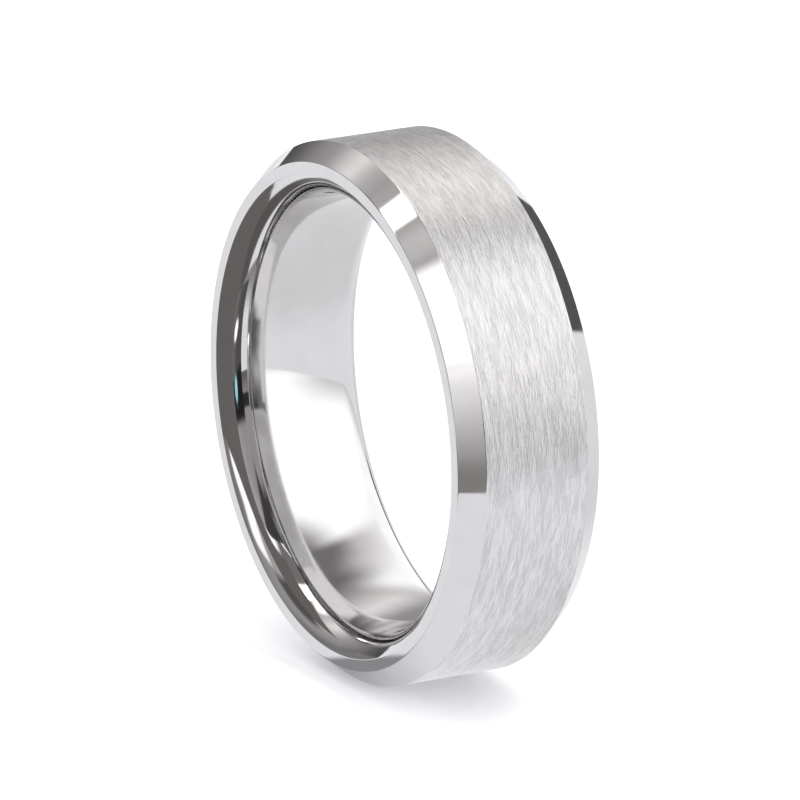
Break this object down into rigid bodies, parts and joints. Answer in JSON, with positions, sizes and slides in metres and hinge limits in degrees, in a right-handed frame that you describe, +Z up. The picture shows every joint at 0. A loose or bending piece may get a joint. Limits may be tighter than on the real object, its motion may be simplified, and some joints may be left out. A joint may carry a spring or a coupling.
{
  "type": "wedding band",
  "caption": "Plain comfort-fit wedding band in white metal: flat brushed land between two polished bevels, with a finger bore domed for comfort.",
  "frame": {"origin": "centre of the finger bore, midway between the two rims", "axes": "+Y along the bore axis; +Z up, with the band standing on edge; X and Z across the bore"},
  "size_m": [0.0242, 0.007, 0.0242],
  "materials": {
    "white_metal": "mirror polish, with a brushed outer land"
  },
  "bodies": {
    "root": {"band": "white_metal"}
  },
  "joints": []
}
